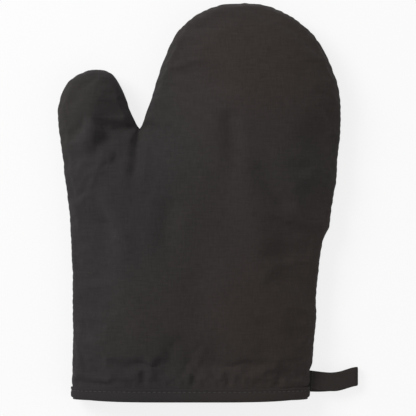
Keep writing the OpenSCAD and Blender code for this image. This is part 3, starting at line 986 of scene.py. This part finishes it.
# ---- Geometry Nodes: what repeats along a path ----
@dataclass(frozen=True)
class StitchRow:
    """A tree that lays one small stitch after another along a path."""

    pitch: float
    length: float
    radius: float

    def tree(self, material: bpy.types.Material) -> bpy.types.GeometryNodeTree:
        """Builds the tree.

        Args:
            material: the thread.

        Returns:
            The node group, with the inputs Pitch, Length and Radius in metres.
        """
        group = bpy.data.node_groups.new("stitch_row", "GeometryNodeTree")
        face = group.interface
        face.new_socket("Geometry", in_out="INPUT", socket_type="NodeSocketGeometry")
        for name in ("Pitch", "Length", "Radius"):
            face.new_socket(name, in_out="INPUT", socket_type="NodeSocketFloat")
        face.new_socket("Geometry", in_out="OUTPUT", socket_type="NodeSocketGeometry")
        nodes, links = group.nodes, group.links

        def add(kind: str, settings: dict | None = None, inputs: dict | None = None) -> bpy.types.Node:
            """Adds one node with its settings and inputs."""
            made = nodes.new(kind)
            for key, value in (settings or {}).items():
                setattr(made, key, value)
            for key, value in (inputs or {}).items():
                if isinstance(value, bpy.types.NodeSocket):
                    links.new(value, made.inputs[key])
                else:
                    made.inputs[key].default_value = value
            return made

        source = add("NodeGroupInput")
        path = add("GeometryNodeMeshToCurve", {}, {"Mesh": source.outputs["Geometry"]})
        points = add("GeometryNodeCurveToPoints", {"mode": "LENGTH"},
                     {"Curve": path.outputs[0], "Length": source.outputs["Pitch"]})
        half = add("ShaderNodeMath", {"operation": "MULTIPLY"}, {0: source.outputs["Length"], 1: 0.5})
        low = add("ShaderNodeMath", {"operation": "MULTIPLY"}, {0: half.outputs[0], 1: -1.0})
        start = add("ShaderNodeCombineXYZ", {}, {2: low.outputs[0]})
        end = add("ShaderNodeCombineXYZ", {}, {2: half.outputs[0]})
        line = add("GeometryNodeCurvePrimitiveLine", {}, {"Start": start.outputs[0], "End": end.outputs[0]})
        fine = add("GeometryNodeResampleCurve", {}, {"Curve": line.outputs[0], "Count": 7})
        share = add("GeometryNodeSplineParameter")
        across = add("ShaderNodeMapRange", {"interpolation_type": "LINEAR"},
                     {"Value": share.outputs["Factor"], "To Min": -1.0, "To Max": 1.0})
        square = add("ShaderNodeMath", {"operation": "POWER"}, {0: across.outputs[0], 1: 4.0})
        plump = add("ShaderNodeMath", {"operation": "SUBTRACT"}, {0: 1.0, 1: square.outputs[0]})
        width = add("ShaderNodeMath", {"operation": "MULTIPLY_ADD"}, {0: plump.outputs[0], 1: 0.75, 2: 0.25})
        size = add("ShaderNodeMath", {"operation": "MULTIPLY"}, {0: width.outputs[0], 1: source.outputs["Radius"]})
        shaped = add("GeometryNodeSetCurveRadius", {}, {"Curve": fine.outputs[0], "Radius": size.outputs[0]})
        ring = add("GeometryNodeCurvePrimitiveCircle", {}, {"Resolution": 8, "Radius": 1.0})
        stitch = add("GeometryNodeCurveToMesh", {},
                     {"Curve": shaped.outputs[0], "Profile Curve": ring.outputs[0], "Fill Caps": True})
        if "Scale" in stitch.inputs:
            links.new(size.outputs[0], stitch.inputs["Scale"])
        rows = add("GeometryNodeInstanceOnPoints", {},
                   {"Points": points.outputs["Points"], "Instance": stitch.outputs[0],
                    "Rotation": points.outputs["Rotation"]})
        real = add("GeometryNodeRealizeInstances", {}, {"Geometry": rows.outputs[0]})
        soft = add("GeometryNodeSetShadeSmooth", {}, {"Geometry": real.outputs[0]})
        dressed = add("GeometryNodeSetMaterial", {}, {"Geometry": soft.outputs[0], "Material": material})
        out = add("NodeGroupOutput")
        links.new(dressed.outputs[0], out.inputs[0])
        return group

    def sew(self, name: str, paths: Sequence[Array], material: bpy.types.Material) -> bpy.types.Object:
        """Sews rows of stitches.

        Args:
            name: the piece's name.
            paths: the rows' points, in metres.
            material: the thread.

        Returns:
            A plain mesh.
        """
        points = np.vstack(paths)
        edges = []
        start = 0
        for p in paths:
            edges += [(start + i, start + i + 1) for i in range(len(p) - 1)]
            start += len(p)
        mesh = bpy.data.meshes.new(name + "_path")
        mesh.from_pydata(points.tolist(), edges, [])
        obj = bpy.data.objects.new(name + "_path", mesh)
        bpy.context.collection.objects.link(obj)
        modifier = obj.modifiers.new("row", "NODES")
        modifier.node_group = self.tree(material)
        sockets = {s.name: s.identifier for s in modifier.node_group.interface.items_tree if s.in_out == "INPUT"}
        modifier[sockets["Pitch"]] = self.pitch * MM
        modifier[sockets["Length"]] = self.length * MM
        modifier[sockets["Radius"]] = self.radius * MM
        done = bpy.data.meshes.new_from_object(obj.evaluated_get(bpy.context.evaluated_depsgraph_get()))
        bpy.data.objects.remove(obj)
        done.name = name
        piece = bpy.data.objects.new(name, done)
        bpy.context.collection.objects.link(piece)
        LOG.info("%s: %d faces", name, len(done.polygons))
        return piece


@dataclass
class Cuff:
    """The binding round the hem and its topstitching."""

    shape: Shape
    cloth: Cloth
    strip_t: float = 0.9
    stitch_drop: float = 2.4
    pitch: float = 3.4
    around: int = 220
    bow: float = 2.2

    def _ring(self, y: float, k: float) -> Array:
        """Points round the mouth, front from the thumb's side and back again.

        Args:
            y: height above the hem.
            k: depth inside the mitt's full size.

        Returns:
            A closed ring of points in millimetres.
        """
        half = self.around // 2
        angle = np.linspace(0, math.pi, half + 1)
        x = -np.cos(angle)
        wide = self.shape.cuff_w / 2
        right = wide + 0.3 * max(0.0, y) / self.shape.binding_h
        out = []
        for side, xs in ((Side.FRONT, x[:-1]), (Side.BACK, x[::-1][:-1])):
            px = np.where(xs > 0, xs * right, xs * wide)
            d = np.where(xs > 0, right - px, wide + px)
            inward = np.column_stack([-np.sign(xs), 0 * xs])
            flat = np.column_stack([px, np.full(len(px), y)])
            round_r = self.shape.front_round if side is Side.FRONT else self.shape.back_round
            height = self.shape.hem_rise if side is Side.FRONT else self.shape.seam_z
            share = np.clip((round_r - d) / round_r, 0, 1)
            up = (height - k) * np.sqrt(1 - share**2)
            plan = flat + inward * (k * np.clip(1 - d / round_r, 0, 1))[:, None]
            out.append(np.column_stack([plan, self.shape.seam_z + (up if side is Side.FRONT else -up)]))
        ring = np.vstack(out)
        ring[:, 1] += self.bow * (np.abs(ring[:, 0]) / wide) ** 5 * (1 - min(1.0, max(0.0, y) / 6))
        return ring

    def build(self) -> None:
        """Builds the strip and its two rows of stitches."""
        inner = self.cloth.pad_t + self.cloth.lining_t + 2 * self.cloth.gap + self.strip_t + 0.4
        top = self.shape.binding_h
        stitch_y = top - self.stitch_drop
        section = [
            (top - 0.5, 0.95), (top - 0.05, 0.7), (top, 0.3), (top - 0.4, -0.02), (top - 1.1, 0.0), (stitch_y + 0.7, 0.14),
            (stitch_y, 0.52), (stitch_y - 0.7, 0.14), (stitch_y - 1.6, -0.05), (stitch_y / 2, 0.0), (1.6, 0.05),
            (0.6, 0.45), (0.1, 1.2), (0, 2.2), (0, inner - 2.2), (0.1, inner - 1.1), (0.7, inner - 0.4), (1.8, inner),
            (stitch_y / 2, inner), (stitch_y, inner - 0.3), (top - 1, inner), (top, inner - 0.3), (top, inner - 0.8),
            (top - 0.8, inner - 0.95), (3.0, inner - 0.95), (1.6, inner - 1.6), (1.3, 2.6), (1.9, 1.2), (3.0, 0.95),
        ]
        rings = [self._ring(y, k) for y, k in section]
        n = len(rings[0])
        step = np.linalg.norm(np.diff(np.vstack([rings[5], rings[5][:1]]), axis=0), axis=1)
        along = np.concatenate([[0], np.cumsum(step)[:-1]])
        pull = 0.5 + 0.5 * np.cos(WHOLE_TURN * along / self.pitch)
        for i, (y, k) in enumerate(section):
            if 4 <= i <= 9:
                near = math.exp(-(((y - stitch_y) / 2.2) ** 2))
                rings[i][:, 2] -= np.sign(rings[i][:, 2] - self.shape.seam_z) * 0.14 * near * pull
            if i <= 4:
                rings[i][:, 1] += 0.22 * np.sin(along / 5.2) + 0.16 * np.sin(along / 2.3)
        points = np.vstack(rings)
        points[:, 2] = np.maximum(points[:, 2], 0.0)
        m = len(rings)
        faces = [[j * n + i, j * n + (i + 1) % n, (j + 1) % m * n + (i + 1) % n, (j + 1) % m * n + i]
                 for j in range(m) for i in range(n)]
        travel = np.concatenate([[0], np.cumsum([math.dist(a, b) for a, b in zip(section[:-1], section[1:])])])
        uv = np.column_stack([np.tile(along, m), np.repeat(travel, n)]) * MM
        turned = uv @ np.array([[0.7071, 0.7071], [-0.7071, 0.7071]])
        obj = make_object("cuff_binding_strip", self.shape.to_frame(points), faces, turned)
        face_out(obj)
        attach(obj, "hand")
        replaced(obj, "cuff_binding", BINDING.material())
        middle = [(rings[i] + rings[-1 - i]) / 2 for i in (3, m // 2)]
        length = float(np.linalg.norm(middle[0] - np.roll(middle[0], 1, axis=0), axis=1).sum()) * MM
        LOG.info("%s: %d faces", obj.name, len(faces))
        self._stitches(stitch_y)

    def _stitches(self, y: float) -> None:
        """Sews the row through the binding, right round the mouth."""
        ring = self._ring(y, 0.3)
        half = self.around // 2
        keep = 9
        rows = [ring[keep: half - keep], ring[half + keep: 2 * half - keep]]
        lifted = [self.shape.to_frame(r) for r in rows]
        piece = StitchRow(self.pitch, 2.4, 0.34).sew("binding_stitching_row", lifted, THREAD.material())
        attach(piece, "hand")
        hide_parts("binding_stitching")


def face_out(obj: bpy.types.Object) -> None:
    """Turns a closed mesh's faces outwards."""
    bm = bmesh.new()
    bm.from_mesh(obj.data)
    bmesh.ops.recalc_face_normals(bm, faces=bm.faces)
    bm.to_mesh(obj.data)
    bm.free()


@dataclass
class SeamInside:
    """The turned-in seam allowance inside the mitt, with the row of stitches that closes the seam."""

    shape: Shape
    cloth: Cloth
    start_in: float = 6.4
    width: float = 4.0
    thick: float = 2.0
    start_y: float = 12.5

    def build(self) -> None:
        """Builds the strips and their stitches for the hand and the thumb."""
        line = self.cloth.flat[: self.cloth.seam_count]
        inward = self.cloth.inward[: self.cloth.seam_count]
        lining = LINING.material()
        thread = THREAD.material()
        crotch = int(np.argmin(np.linalg.norm(line - self.shape.crotch, axis=1)))
        fold = int(np.argmin(np.linalg.norm(line - self.shape.fold_low, axis=1)))
        low = int(np.argmax(line[:, 1] > self.start_y))
        high = len(line) - 1 - int(np.argmax(line[::-1, 1] > self.start_y))
        runs = {Part.HAND: [(low, fold - 2), (crotch + 4, high)], Part.THUMB: [(fold + 6, crotch - 4)]}
        for part, spans in runs.items():
            points, faces, uv, paths = [], [], [], []
            for a, b in spans:
                p, i = line[a: b + 1], inward[a: b + 1]
                reach = np.concatenate([[0], np.cumsum(np.linalg.norm(np.diff(p, axis=0), axis=1))])
                wave = 0.35 * np.sin(reach / 3.1)
                near, far = self.start_in, self.start_in + self.width
                z0 = self.shape.seam_z - 0.1
                loop = [(near, 0.2), (near, self.thick - 0.3), (near + 0.5, self.thick), (far - 0.6, self.thick + 0.1),
                        (far, self.thick / 2), (far - 0.5, 0.1), ((near + far) / 2, 0.0)]
                base = sum(len(x) for x in points)
                for k, z in loop:
                    edge = 1 if k > near + 1 else 0
                    plan = p + i * (k + wave[:, None] * edge)
                    points.append(np.column_stack([plan, np.full(len(p), z0 + z) + 0.15 * edge * np.sin(reach / 2.1)]))
                    uv.append(np.column_stack([reach, np.full(len(p), k + z)]))
                m, n = len(loop), len(p)
                faces += [[base + j * n + c, base + j * n + c + 1, base + (j + 1) % m * n + c + 1, base + (j + 1) % m * n + c]
                          for j in range(m) for c in range(n - 1)]
                faces += [[base + j * n for j in range(m)], [base + j * n + n - 1 for j in reversed(range(m))]]
                row = p + i * (near + 1.3)
                paths.append(self.shape.to_frame(np.column_stack([row, np.full(n, z0 + self.thick + 0.15)])))
            obj = make_object(f"seam_allowance{part.value}_strip", self.shape.to_frame(np.vstack(points)), faces,
                              np.vstack(uv) * MM)
            face_out(obj)
            stitches = StitchRow(3.4, 2.4, 0.3).sew(f"seam_stitching{part.value}_row", paths, thread)
            for piece, node, slot in ((obj, "seam_allowance", "lining"), (stitches, "seam_stitching", "thread")):
                if part is Part.HAND:
                    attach(piece, "hand")
                else:
                    Faces(self.cloth)._split(piece, part)
                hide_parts(f"{node}{part.value}")
            obj.data.materials.append(lining)
            LOG.info("%s: %d faces", obj.name, len(faces))


@dataclass
class HangingLoop:
    """The folded tape at the side seam, and the stitches that hold its root."""

    shape: Shape
    tape_w: float = 13.0
    tape_t: float = 0.9
    reach: float = 34.0
    low_y: float = 7.0
    root_in: float = 3.0
    bend_r: float = 2.5

    def _centre(self, count: int) -> tuple[Array, Array]:
        """The tape's middle line in section, out along the top, round the bend and back underneath."""
        lo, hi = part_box("hanging_loop")
        tip_x = (hi[0] / MM) + self.shape.middle[0] - self.tape_t / 2 - 0.3
        root_x = self.shape.cuff_w / 2 + 0.9
        z_root = self.shape.seam_z
        z_tip = self.bend_r + self.tape_t / 2 + 0.35
        out = np.linspace(0, 1, count)
        bend_x = tip_x - self.bend_r
        top = np.column_stack([root_x - self.root_in + (bend_x - root_x + self.root_in) * out,
                               z_root + 0.55 + (z_tip + self.bend_r - z_root - 0.55) * smooth(out) + 0.9 * np.sin(math.pi * out)])
        angle = np.linspace(math.pi / 2, -math.pi / 2, 9)[1:-1]
        bend = np.column_stack([bend_x + self.bend_r * np.cos(angle), z_tip + self.bend_r * np.sin(angle)])
        low = np.column_stack([top[::-1, 0],
                               z_root - 0.55 + (z_tip - self.bend_r - z_root + 0.55) * smooth(out[::-1])
                               + 0.35 * np.sin(math.pi * out[::-1])])
        line = np.vstack([top, bend, low])
        side = np.concatenate([np.ones(count), np.linspace(1, -1, len(bend) + 2)[1:-1], -np.ones(count)])
        return line, side

    def build(self) -> None:
        """Builds the tape and dresses its root stitches."""
        line, side = self._centre(26)
        ahead = np.gradient(line, axis=0)
        ahead /= np.linalg.norm(ahead, axis=1)[:, None]
        normal = np.column_stack([-ahead[:, 1], ahead[:, 0]])
        x0, x1 = line[:, 0].min(), line[:, 0].max()
        t = (line[:, 0] - x0) / (x1 - x0)
        drift = -1.0 * np.sin(math.pi * np.clip(t, 0, 1) * 1.1) + 2.6 * smooth((t - 0.55) / 0.45) * 0.9
        splay = side * 1.05 * (1 - smooth(t / 0.6)) * 0.9
        across = np.linspace(-0.5, 0.5, 15)
        edge = np.clip((0.5 - np.abs(across)) / 0.07, 0, 1)
        thick = self.tape_t * (0.5 + 0.5 * np.sqrt(1 - (1 - edge) ** 2)) * 0.5
        cup = 0.5 * (across * 2) ** 2
        reach = np.concatenate([[0], np.cumsum(np.linalg.norm(np.diff(line, axis=0), axis=1))])
        points, uv = [], []
        rows = len(line)
        for sign in (1, -1):
            for c, a in enumerate(across):
                y = self.low_y + self.tape_w / 2 + a * self.tape_w + drift + splay
                off = sign * thick[c] - cup[c] * 0.35 * np.sin(math.pi * t)
                xz = line + normal * off[:, None]
                points.append(np.column_stack([xz[:, 0], y, np.maximum(xz[:, 1], 0.05)]))
                uv.append(np.column_stack([reach, np.full(rows, a * self.tape_w)]))
        m = len(across)
        faces = []
        for c in range(m - 1):
            for r in range(rows - 1):
                a, b = c * rows + r, (c + 1) * rows + r
                faces.append([a, a + 1, b + 1, b])
                faces.append([(m * rows) + a, (m * rows) + b, (m * rows) + b + 1, (m * rows) + a + 1])
        for r in range(rows - 1):
            for c in (0, m - 1):
                a = c * rows + r
                faces.append([a, a + 1, m * rows + a + 1, m * rows + a])
        for r in (0, rows - 1):
            for c in range(m - 1):
                a, b = c * rows + r, (c + 1) * rows + r
                faces.append([a, b, m * rows + b, m * rows + a])
        obj = make_object("hanging_loop_tape", self.shape.to_frame(np.vstack(points)), faces, np.vstack(uv) * MM)
        face_out(obj)
        refine = obj.modifiers.new("refine", "SUBSURF")
        refine.levels = refine.render_levels = 1
        done = bpy.data.meshes.new_from_object(obj.evaluated_get(bpy.context.evaluated_depsgraph_get()))
        obj.modifiers.clear()
        obj.data = done
        root = np.array([self.shape.cuff_w / 2 + 1.4, self.low_y, self.shape.seam_z])
        tip = root + np.array([7.0, 0, 0])
        tuple(self.shape.to_frame(root))
        tuple(self.shape.to_frame(tip))
        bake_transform(obj)
        replaced(obj, "hanging_loop", TAPE.material())
        LOG.info("%s: %d faces", obj.name, len(done.polygons))
        self._root_stitches()

    def _root_stitches(self) -> None:
        """Sews the short rows that catch the tape's root in the side seam."""
        x = self.shape.cuff_w / 2 + 1.0
        y = np.linspace(self.low_y + 0.6, self.low_y + self.tape_w - 0.6, 12)
        rows = []
        for lift in (1.15, -1.15):
            rows.append(self.shape.to_frame(np.column_stack([x + 0.05 * (y - self.low_y), y, 0 * y + self.shape.seam_z + lift])))
        piece = StitchRow(1.9, 1.5, 0.3).sew("loop_stitching_row", rows, THREAD.material())
        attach(piece, "hand")
        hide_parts("loop_stitching")


@dataclass
class Studio:
    """A pale floor, soft light from above and the left, and a camera that looks straight down."""

    shape: Shape
    frame_w: float = 287.25
    aim: tuple[float, float] = (12.2, 132.7)
    distance: float = 1.6
    floor_half: float = 3.0
    floor_colour: float = 0.86
    white_share: float = 0.8

    def build(self) -> None:
        """Sets the stage."""
        self._camera()
        self._floor()
        self._lights()

    def _camera(self) -> None:
        """Places the camera."""
        data = bpy.data.cameras.new("camera")
        data.sensor_width = 36.0
        height = self.distance - self.shape.seam_z * MM
        data.lens = data.sensor_width * height / (self.frame_w * MM)
        data.dof.use_dof = False
        data.clip_end = 20.0
        camera = bpy.data.objects.new("camera", data)
        bpy.context.collection.objects.link(camera)
        x, y, _ = self.shape.to_frame(np.array([self.aim[0], self.aim[1], 0.0]))
        camera.location = (x, y, self.distance)
        bpy.context.scene.camera = camera

    def _floor(self) -> None:
        """Lays the floor, which the camera sees as nearly white and which keeps the mitt's soft shadow."""
        h = self.floor_half
        floor = make_object("floor", np.array([(-h, -h, -0.001), (h, -h, -0.001), (h, h, -0.001), (-h, h, -0.001)]), [[0, 1, 2, 3]], None, False)
        s = Shader("floor")
        rays = s.node("ShaderNodeLightPath", out="Is Camera Ray")
        glossy = s.node("ShaderNodeLightPath", out="Is Glossy Ray")
        through = s.node("ShaderNodeLightPath", out="Is Transmission Ray")
        seen = (rays + glossy + through).apply("MINIMUM", 1.0)
        paper = s.node("ShaderNodeBsdfDiffuse", {}, {"Color": (self.floor_colour,) * 3 + (1,), "Roughness": 0.0})
        white = s.node("ShaderNodeEmission", {}, {"Color": (1, 1, 1, 1), "Strength": 1.0})
        surface = s.node("ShaderNodeMixShader", {}, {0: seen * self.white_share, 1: paper, 2: white})
        floor.data.materials.append(s.finish(surface))
        floor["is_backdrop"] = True

    def _lights(self) -> None:
        """Hangs the lamps and fills the room."""
        for name, place, size, power in (
            ("key", (-1.1, 0.8, 1.15), 0.8, 23.0),
            ("fill", (1.3, -0.6, 1.5), 1.6, 6.0),
        ):
            data = bpy.data.lights.new(name, "AREA")
            data.size = size
            data.energy = power
            lamp = bpy.data.objects.new(name, data)
            bpy.context.collection.objects.link(lamp)
            lamp.location = place
            lamp.rotation_euler = (-Vector(place)).to_track_quat("-Z", "Y").to_euler()
        world = bpy.data.worlds.new("room")
        bpy.context.scene.world = world
        world.use_nodes = True
        world.node_tree.nodes["Background"].inputs["Color"].default_value = (1, 1, 1, 1)
        world.node_tree.nodes["Background"].inputs["Strength"].default_value = 0.42


def main() -> None:
    """Builds the mitt round its frame."""
    logging.basicConfig(level=logging.INFO, format="%(name)s: %(message)s", stream=sys.stdout)
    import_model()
    bpy.context.scene.view_settings.view_transform = "Standard"
    shape = Shape()
    cloth = Cloth(shape)
    Studio(shape).build()
    Faces(cloth).build()
    Cuff(shape, cloth).build()
    SeamInside(shape, cloth).build()
    HangingLoop(shape).build()


if __name__ == "__main__":
    main()
